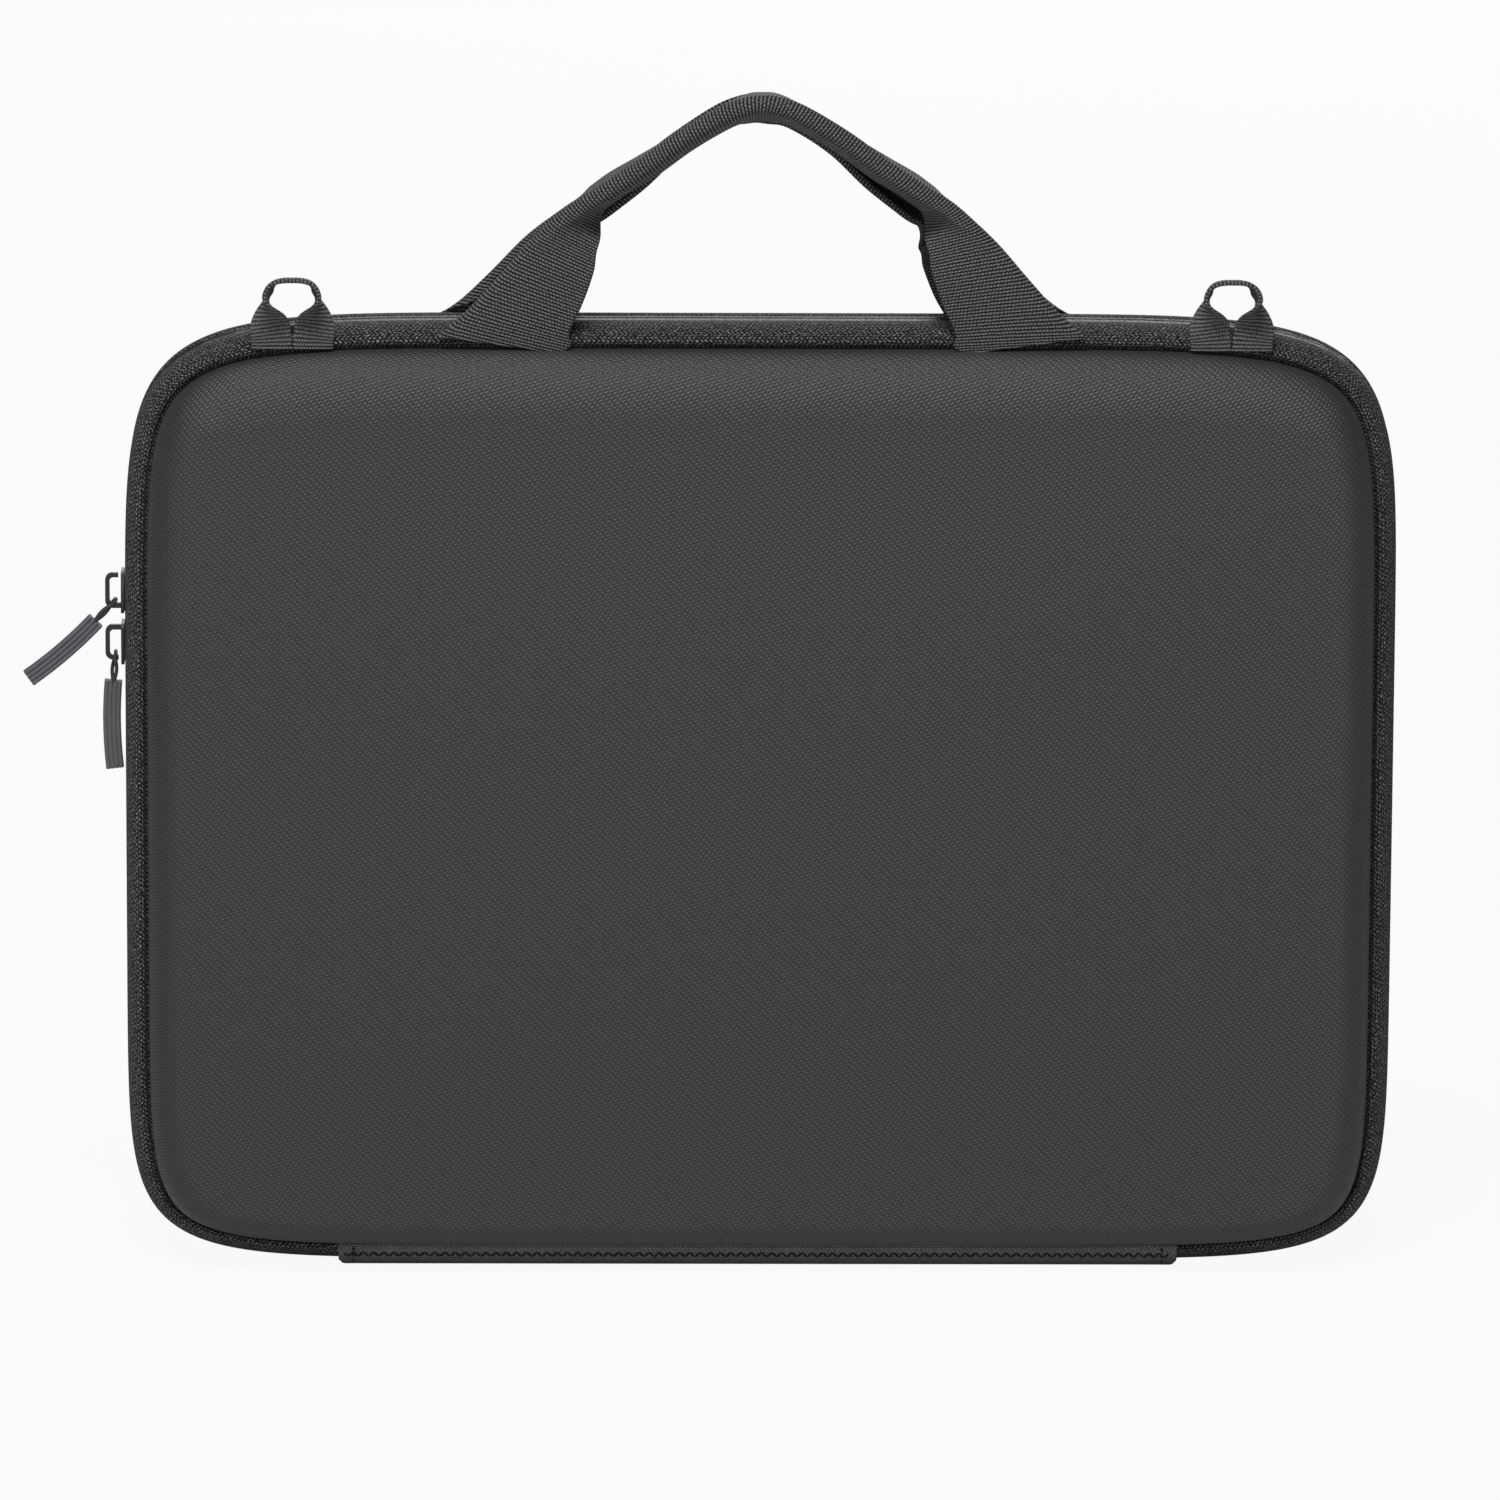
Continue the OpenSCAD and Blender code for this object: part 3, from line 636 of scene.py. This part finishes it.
# The handle's webbing lies flat where it is sewn. Its outer edge folds back along a slanting
# crease, and past a kink the inner half folds back too. At each station: the outer edge as seen
# from the front, the tilt of the webbing, where the bend begins across it, how far the inner
# and outer parts bend, and which way it faces. Sizes are in millimetres and degrees.
HANDLE_STATIONS = np.array([
    (-99.8, 4.4, 8, -19, 0, 0, 90),
    (-95.4, 8.0, 9, -16.0, 0, 60, 90),
    (-90.2, 12.8, 11, -9.9, 0, 165, 90),
    (-82.0, 22.2, 14, -5.6, 0, 172, 90),
    (-73.2, 32.6, 18, -0.5, 0, 172, 90),
    (-66.0, 39.8, 25, 4.0, 16, 160, 90),
    (-58.8, 46.2, 36, 2.2, 66, 104, 86),
    (-50.8, 51.4, 47, 0.3, 83, 86, 80),
    (-39.5, 59.1, 52, 0, 85, 85, 77),
    (-26.5, 68.7, 56, 0, 88, 88, 74),
    (-13.5, 76.6, 61, 0, 87, 87, 74),
    (-5.5, 79.6, 74, 0, 84, 84, 74),
    (0, 80.2, 90, 0, 84, 84, 74),
    (5.5, 79.6, 106, 0, 84, 84, 74)])
ARCH_TOP, ARCH_FACES = 80.2, 74
FOLD_RADIUS = 0.003


def handle_leg(wide, thick, sags, faces):
    """Rings of the handle's webbing up its left leg. faces is the way its arch faces."""
    s = np.linspace(-wide / 2, wide / 2, 77)
    stations = smooth_section(HANDLE_STATIONS, 7, closed=False)[:-7]
    if sags:
        # Lower by a fifth near its ends, less so at the arch, with a dip behind the other's kink
        high = stations[:, 1]
        stations[:, 1] = high * (1 - (0.21 - 0.155 * (high / ARCH_TOP) ** 1.3
                                      + 0.03 * np.exp(-((high - 46) / 7) ** 2)))
    along = np.gradient(stations[:, :2], axis=0)
    outward = np.stack([-along[:, 1], along[:, 0]], -1) / np.linalg.norm(along, axis=1)[:, None]
    rings = []
    for (u, h, tilt, crease, inner, outer, turn), away in zip(stations, outward):
        angle = np.clip((s - crease / 1000) / FOLD_RADIUS,
                        -math.radians(outer), math.radians(inner))
        flat = woven_ring(s, angle, crease / 1000, thick)
        head = (math.sin(math.radians(tilt)), math.cos(math.radians(tilt)))
        turn = 90 + (turn - 90) / (90 - ARCH_FACES) * (90 - faces)
        ring = placed_ring(flat, (u / 1000, h / 1000), head, math.radians(turn))
        # The ring's outermost point goes on the outer edge that the stations give
        reach = (ring[:, :2] @ away).max() - np.dot((u, h), away) / 1000
        ring[:, :2] -= away * reach
        rings.append(ring)
    return np.array(rings), len(s) // 2


def webbing(name, material, leg, place, side, lean):
    """Two mirrored legs set on the seam, leaning in from it. side is 1 for the front."""
    left, middle = leg
    rings = np.concatenate([left, left[:-1][::-1] * [-1, 1, 1]])
    u, h, y = rings[..., 0], rings[..., 1], -rings[..., 2]
    angle = math.radians(lean)
    y, z = y * math.cos(angle) - h * math.sin(angle), y * math.sin(angle) + h * math.cos(angle)
    grid = np.stack([u + place[0], (y - place[1]) * side, z + place[2]], -1)
    lay = lay_of(lengths(rings[:, middle]), lengths(left[0], closed=True))
    if side > 0:
        grid, lay = grid[:, ::-1], lay[:, ::-1]
    return surface(name, material, [(grid, lay, False, True, True)], 60)


def handle(name, x, sags, faces, side):
    wide, thick = HANDLE_WEB
    leg = handle_leg(wide, thick, sags, faces)
    return webbing(name, handle_web, leg, (x, WEB_Y + thick, WEB_Z), side, 3)


def strap_loop(name, x):
    wide, thick = LOOP_WEB
    route = [(-wide / 2 - 0.0004, 0), (-0.55 * wide, 0.5 * LOOP_RISE),
             (-1.16 * wide, 1.03 * LOOP_RISE), (0, LOOP_RISE)]
    leg = loop_leg(route, 40, wide, thick, 0.45)
    return webbing(name, loop_web, leg, (x, WEB_Y + thick, WEB_Z), 1, 0)


# ---- stitches --------------------------------------------------------------------------------

def stitches(name, spans, thick):
    """Short lengths of thread, each from one point to another, bulging off the cloth."""
    grids = []
    for start, end, off in spans:
        a, b, off = (np.array(v, float) for v in (start, end, off))
        head = (b - a) / np.linalg.norm(b - a)
        out = off / np.linalg.norm(off)
        across = np.cross(head, out)
        rings = []
        for t in np.linspace(0, 1, 6):
            centre = a + (b - a) * t + out * (math.sin(math.pi * t) * thick * 0.9 - thick * 0.2)
            swell = thick * (0.44 + 0.36 * math.sin(math.pi * t))
            rings.append([centre + (across * math.cos(q) + out * math.sin(q)) * swell
                          for q in np.arange(6) * math.pi / 3])
        grid = np.array(rings)
        lay = lay_of(lengths(grid[:, 0]), np.linspace(0, thick * 3, 7))
        grids.append((grid, lay, False, True, True))
    return surface(name, sewing_thread, grids)


# ---- hinge strip and its lining --------------------------------------------------------------

STRIP_SECTION = np.array([
    (0, 0), (5, 0), (9, 0), (11, 0.35), (12.4, 1.3), (13.9, 2.8), (14.9, 4.6), (15.1, 6.3),
    (14.2, 7.9), (12.6, 8.4), (11.5, 8.3), (11.3, 7.4), (12.2, 6.2), (11.5, 5.2), (10, 4.2),
    (8, 2.8), (4, 2.8), (0, 2.8)]) / 1000


def hinge_strip():
    """The strip's cloth, with its two ends folded under."""
    half = smooth_section(STRIP_SECTION, 3, closed=False)
    # The section goes round from the underside, up the front edge and back over the inside
    section = np.concatenate([half * [-1, 1], (half[::-1])[1:-1]])
    span = lengths(section, closed=True)
    end = STRIP_LEN / 2
    stops = np.concatenate([[-end, -end + 0.0004, -end + 0.0012, -end + 0.0024, -end + 0.0046],
                            np.linspace(-end + 0.006, end - 0.006, 90),
                            [end - 0.0046, end - 0.0024, end - 0.0012, end - 0.0004, end]])
    grid = []
    for x in stops:
        inward = end - abs(x)
        ring = section.copy()
        # A folded end is a little fuller, and rounds off below
        hem = 1 - ease((inward - 0.0042) / 0.0006)
        lift = 0.0013 * (1 - ease(inward / 0.002)) ** 2
        ring[:, 1] += lift * np.clip(1 - ring[:, 1] / 0.010, 0, 1)
        ring[:, 0] *= 1 + 0.012 * hem
        grid.append(np.stack([np.full(len(ring), x), ring[:, 0], ring[:, 1]], -1))
    grid, lay = np.array(grid)[:, ::-1], lay_of(stops, span)[:, ::-1]
    return surface("hinge_strip_cloth", strip_cloth, [(grid, lay, False, True, True)], 60)


HEM_ROW_X = 0.1268
HEM_PITCH, HEM_STITCH = 0.0023, 0.0015
ZIGZAG_STEP, ZIGZAG_STITCH = 0.0016, 0.0015
ZIGZAG_LOW, ZIGZAG_HIGH = 0.0036, 0.0052


def hinge_strip_stitches():
    """A row down each folded end, and a zigzag along the edge that is sewn to the shell."""
    spans = []
    half = smooth_section(STRIP_SECTION, 12, closed=False)
    reach = half[(half[:, 1] > 0.0012) & (half[:, 0] > 0.0118)]
    reach = reach[:np.argmax(reach[:, 1]) + 1]
    run = lengths(reach)
    for side in (-1, 1):
        for end in (-1, 1):
            for a in np.arange(0.0004, run[-1] - 0.0018, HEM_PITCH):
                p = [np.array([end * HEM_ROW_X, side * np.interp(q, run, reach[:, 0]),
                               np.interp(q, run, reach[:, 1])]) for q in (a, a + HEM_STITCH)]
                spans.append((p[0], p[1], (0, side, -0.2)))
        for i, x in enumerate(np.arange(-0.1300, 0.1290, ZIGZAG_STEP)):
            z0, z1 = (ZIGZAG_LOW, ZIGZAG_HIGH) if i % 2 else (ZIGZAG_HIGH, ZIGZAG_LOW)
            edge = [np.interp(z, reach[:, 1], reach[:, 0]) for z in (z0, z1)]
            spans.append(((x, side * edge[0], z0), (x + ZIGZAG_STITCH, side * edge[1], z1),
                          (0, side, 0.1)))
    return stitches("hinge_strip_stitches", spans, 0.0005)


def hinge_lining():
    """The plush that covers the hinge between the two rims, a little full in its middle."""
    thick, reach = 0.0016, 0.0105
    low = STRIP_PROUD + INNER_INSET - thick
    ys = np.linspace(-reach, reach, 25)
    xs = np.linspace(-STRIP_LEN / 2, STRIP_LEN / 2, 80)
    top = np.array([[(x, y, low + thick - 0.0004 * (y / reach) ** 2) for y in ys] for x in xs])
    under = np.array([[(x, y, low) for y in ys[::-1]] for x in xs])
    grid = np.concatenate([top, under], 1)[:, ::-1]
    lay = grid[..., :2].copy()
    return surface("hinge_lining_plush", plush, [(grid, wrapped(lay), False, True, True)], 50)


# ---- inside ----------------------------------------------------------------------------------

INNER_FACE = FACE_DEPTH - SHELL_WALL - LINING_WALL


def corner_strap(name, side, up):
    """A flat elastic over one inside corner, a little bowed, with its two ends sewn down."""
    x_in = CASE_W / 2 - INNER_INSET - SHOULDERS[1]
    low = STRIP_PROUD + INNER_INSET + SHOULDERS[2]
    high = STRIP_PROUD + CASE_H - INNER_INSET - SHOULDERS[0]
    centre = np.array([side * (x_in - STRAP_IN), (high - STRAP_IN) if up > 0 else (low + STRAP_IN)])
    along = np.array([side, -up]) / math.sqrt(2)
    across = np.array([side, up]) / math.sqrt(2)
    grid = []
    stops = np.linspace(-STRAP_HALF_LEN, STRAP_HALF_LEN, 60)
    for s in stops:
        sewn = ease((abs(s) - 0.032) / 0.004)
        rise = 0.0006 * (1 - sewn) + 0.0001
        edge = STRAP_HALF_WIDE * (1 - 0.03 * math.cos(math.pi * s / (2 * STRAP_HALF_LEN)))
        ring = []
        for w, thick in ([(v, 1) for v in np.linspace(-edge, edge, 12)]
                         + [(v, 0) for v in np.linspace(edge, -edge, 12)]):
            p = centre + along * s + across * w
            round_off = 0.0002 if abs(abs(w) - edge) < 1e-6 else 0
            depth = INNER_FACE - rise - (0.0009 - round_off if thick else round_off)
            ring.append((p[0], depth, p[1]))
        grid.append(ring)
    grid = np.array(grid)
    lay = lay_of(stops, np.concatenate([np.linspace(0, 0.02, 12), np.linspace(0.021, 0.041, 13)]))
    if side * up < 0:
        grid, lay = grid[:, ::-1], lay[:, ::-1]
    piece = surface(name, elastic_web, [(grid, lay, False, True, True)], 60)
    spans = []
    for end in (-1, 1):
        for row in (0.0345, 0.0385):
            for w in np.arange(-0.009, 0.0085, 0.0022):
                p, q = (centre + along * end * row + across * v for v in (w, w + 0.0016))
                depth = INNER_FACE - 0.0011
                spans.append(((p[0], depth, p[1]), (q[0], depth, q[1]), (0, -1, 0)))
    return piece, stitches(name + "_stitches", spans, 0.0003)


def pocket_net():
    """The net is one sheet, with the lightest sag towards the lining in its middle."""
    wide, tall, low = POCKET
    lay = lay_of(np.linspace(-wide / 2, wide / 2, 65), np.linspace(0, tall, 33))
    sag = 0.0006 * np.cos(math.pi * lay[..., 0] / wide) * np.sin(math.pi * lay[..., 1] / tall)
    grid = np.stack([lay[..., 0], -(INNER_FACE - 0.0024 - 0.0007 + sag), lay[..., 1] + low], -1)
    return surface("pocket_net_cloth", pocket_mesh, [(grid, lay, False, False, False)])


def pocket_binding():
    """A folded tape round three sides of the pocket, fuller in its middle, with mitred corners."""
    wide, tall, low = POCKET
    hem = POCKET_HEM
    profile = [(-0.0005, 0.0), (-0.0003, 0.0017), (0.0015, 0.0024), (hem / 2, 0.0026),
               (hem - 0.0015, 0.0024), (hem - 0.0002, 0.0017), (hem, 0.0)]
    section = smooth_section(profile, 3, closed=False)
    path = [(-wide / 2, low + tall), (-wide / 2, low), (wide / 2, low), (wide / 2, low + tall)]
    inward = [(1, 0), (1, 1), (-1, 1), (-1, 0)]
    rows, runs, run = [], [], 0.0
    for k in range(3):
        a, b = np.array(path[k]), np.array(path[k + 1])
        ia, ib = np.array(inward[k]), np.array(inward[k + 1])
        for t in np.linspace(0, 1, 30, endpoint=k == 2):
            p, i = a + (b - a) * t, ia + (ib - ia) * t
            # Only the corners are mitred; along a side the tape has its full width
            i = np.array([ia[0] if k == 0 else ib[0] if k == 2 else i[0],
                          i[1] if k != 1 else 1])
            rows.append([(p[0] + i[0] * v[0], -(INNER_FACE - v[1]), p[1] + i[1] * v[0])
                         for v in section])
            runs.append(run + t * np.linalg.norm(b - a))
        run += np.linalg.norm(b - a)
    lay = lay_of(runs, np.append(lengths(section), 0.02))
    return surface("pocket_binding_tape", binding_cloth,
                   [(np.array(rows), lay, False, True, True)], 60)


# ---- pulls -----------------------------------------------------------------------------------

def pull_cord(name, eye, hang, mirrored):
    """One cord that hangs in the crown's eye, its two strands laid side by side at the grip."""
    half = 0.0016
    strand = [(-0.0007 * math.sin(math.pi * min(1, t * 1.2)), -half * (0.45 + 0.55 * t ** 0.6),
               -PULL_DROP * (1 - t)) for t in np.linspace(0, 1, 14)]
    bight = [(0, -half * math.cos(q), 0.0002 * math.sin(q))
             for q in np.linspace(0, math.pi, 12)[1:-1]]
    route = strand + bight + [(-x, -y, z) for x, y, z in strand[::-1]]
    line = smooth_section(route, 3, closed=False)
    if mirrored:
        line = line * [-1, 1, 1]
    turn = Matrix.Rotation(math.radians(hang), 3, "Y")
    line = np.array([turn @ Vector(p) + Vector(eye) for p in line])
    head = np.gradient(line, axis=0)
    head /= np.linalg.norm(head, axis=1, keepdims=True)
    side = np.cross(head, [1.0, 0.02, 0.3])
    side /= np.linalg.norm(side, axis=1, keepdims=True)
    other = np.cross(head, side)
    q = np.arange(10)[None, :, None] * math.tau / 10
    grid = line[:, None] + CORD_RADIUS * (np.cos(q) * side[:, None] + np.sin(q) * other[:, None])
    lay = lay_of(lengths(line), np.linspace(0, 0.0038, 11))
    return surface(name, braided_cord, [(grid, lay, False, True, True)], 60)


# ---- everything in its place -----------------------------------------------------------------

def dress(piece, body, slot, *stands_for):
    """The piece rides on the body, in place of the plain solids that it stands for."""
    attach(piece, body)
    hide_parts(*stands_for)
    return piece


def painted(node_name, material):
    node = nodes[node_name]
    node.data.materials.clear()
    node.data.materials.append(material)
    return node


dress(shell("back_shell_cloth", 1), "back_half", "moulded_shell", "back_shell")
dress(shell("front_shell_cloth", -1), "lid", "moulded_shell", "front_shell")
dress(lining("back_lining_plush", 1), "back_half", "plush_lining", "back_lining")
dress(lining("front_lining_plush", -1), "lid", "plush_lining", "front_lining")
dress(zip_tape("back_zip_tape_cloth", 1), "back_half", "zip_tape", "back_zip_tape")
dress(zip_tape("front_zip_tape_cloth", -1), "lid", "zip_tape", "front_zip_tape")
dress(seam_binding("back_binding_tape", 1), "back_half", "binding", "back_seam_binding")
dress(seam_binding("front_binding_tape", -1), "lid", "binding", "front_seam_binding")
dress(handle("front_handle_web", 0, False, ARCH_FACES, 1), "front_handle", "webbing",
      "front_handle")
dress(handle("back_handle_web", -0.002, True, 98, -1), "back_handle", "webbing", "back_handle")
dress(strap_loop("left_loop_web", -0.145), "left_loop", "webbing", "strap_loop_left")
dress(strap_loop("right_loop_web", 0.145), "right_loop", "webbing", "strap_loop_right")

net = dress(pocket_net(), "lid", "net", "pocket_net")
dress(pocket_binding(), "lid", "binding", "pocket_binding")
straps = [corner_strap(f"corner_strap_{level}_{hand}", side, up)
          for side, hand in ((-1, "left"), (1, "right"))
          for up, level in ((-1, "lower"), (1, "upper"))]
for pair in straps:
    for piece in pair:
        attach(piece, "back_half")
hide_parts("corner_straps")

for level, eye_z, hang, mirrored in (("upper", 0.2114, 43, False), ("lower", 0.1947, 5, True)):
    dress(pull_cord(f"{level}_pull_braid", (PULL_EYE_X, 0, eye_z), hang, mirrored),
          f"{level}_pull", "pull_cord", f"{level}_pull_cord")

strip = hinge_strip()
sewn_edge = hinge_strip_stitches()
strip_lining = hinge_lining()
for piece, cloth_slot in ((strip, "hinge_fabric"), (sewn_edge, "hinge_fabric"),
                          (strip_lining, "plush_lining")):
    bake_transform(piece)
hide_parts("hinge_strip")
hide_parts("hinge_lining")

for name, material in (("slider_body", slider_enamel), ("slider_crown", slider_enamel),
                       ("pull_grip", grip_rubber)):
    for level in ("upper", "lower"):
        node = painted(f"{level}_{name}", material)
        rounding = node.modifiers.new("rounding", "BEVEL")
        rounding.width, rounding.segments = 0.0002, 2
        rounding.limit_method, rounding.angle_limit = "ANGLE", math.radians(40)
for level in ("back", "front"):
    painted(f"{level}_zip_teeth", zip_plastic)


# ---- floor, light and camera -----------------------------------------------------------------

SEEN_THROUGH = 0.93


def pale_floor():
    """A floor that keeps a shadow but lets the lid be seen and lit where it hangs below."""
    mesh = bpy.data.meshes.new("floor")
    mesh.from_pydata([(-8, -8, 0), (8, -8, 0), (8, 8, 0), (-8, 8, 0)], [], [(0, 1, 2, 3)])
    floor = bpy.data.objects.new("floor", mesh)
    bpy.context.scene.collection.objects.link(floor)
    material = bpy.data.materials.new("pale_floor")
    material.use_nodes = True
    tree = material.node_tree
    wire = Wire(tree.nodes)
    seen = wire.node("ShaderNodeLightPath")
    lit = Wire(tree.nodes, seen.socket.node.outputs["Is Shadow Ray"])
    clear = wire.node("ShaderNodeBsdfTransparent")
    matte = tree.nodes["Principled BSDF"]
    matte.inputs["Base Color"].default_value = (0.72, 0.72, 0.72, 1)
    matte.inputs["Roughness"].default_value = 0.9
    through = wire.maths("MAXIMUM", seen * SEEN_THROUGH, lit)
    mixed = wire.node("ShaderNodeMixShader", {},
                      {0: through, 1: Wire(tree.nodes, matte.outputs[0]), 2: clear})
    tree.links.new(mixed.socket, tree.nodes["Material Output"].inputs["Surface"])
    mesh.materials.append(material)


def white_world(strength):
    """White to look at, and a plain fill light of this strength on the case."""
    world = bpy.data.worlds.new("studio")
    bpy.context.scene.world = world
    world.use_nodes = True
    tree = world.node_tree
    wire = Wire(tree.nodes)
    ray = wire.node("ShaderNodeLightPath")
    passed = Wire(tree.nodes, ray.socket.node.outputs["Is Transmission Ray"])
    seen = wire.maths("MAXIMUM", ray, passed)
    ground = tree.nodes["Background"]
    ground.inputs["Color"].default_value = (1, 1, 1, 1)
    tree.links.new((seen * (1 - strength) + strength).socket, ground.inputs["Strength"])


def softbox(name, place, aim, size, power):
    lamp = bpy.data.lights.new(name, "AREA")
    lamp.shape, lamp.size, lamp.size_y, lamp.energy = "RECTANGLE", size[0], size[1], power
    light = bpy.data.objects.new(name, lamp)
    light.location = place
    light.rotation_mode = "QUATERNION"
    light.rotation_quaternion = (Vector(aim) - Vector(place)).to_track_quat("-Z", "Y")
    bpy.context.scene.collection.objects.link(light)


def photo_camera():
    """The photograph's view: nearly straight on, from a little above, with a long lens."""
    lens = bpy.data.cameras.new("photo_camera")
    lens.lens, lens.sensor_width = 327.8, 36.0
    lens.clip_start, lens.clip_end = 0.1, 50.0
    camera = bpy.data.objects.new("photo_camera", lens)
    turn, lift, roll = math.radians(-0.67), math.radians(13.6), math.radians(0.28)
    back = Vector((math.sin(turn) * math.cos(lift), -math.cos(turn) * math.cos(lift),
                   math.sin(lift)))
    level = Vector((math.cos(turn), math.sin(turn), 0))
    up = back.cross(level)
    right = level * math.cos(roll) + up * math.sin(roll)
    camera.location = Vector((-0.003, 0, 0.16374)) + back * 4.262
    axes = Matrix((right, back.cross(right), back)).transposed()
    camera.rotation_mode = "QUATERNION"
    camera.rotation_quaternion = axes.to_quaternion()
    bpy.context.scene.collection.objects.link(camera)
    bpy.context.scene.camera = camera


pale_floor()
white_world(0.07)
softbox("key_box", (-0.2, -1.0, 1.9), (0, 0, 0.25), (1.0, 0.5), 31)
softbox("front_box", (-0.4, -2.7, 0.8), (0, 0, 0.1), (1.2, 1.0), 15)
softbox("back_box", (0.3, 2.4, 0.8), (0, 0, 0.12), (1.6, 1.2), 16)
photo_camera()
bpy.context.scene.view_settings.view_transform = "Standard"

bpy.context.view_layer.update()
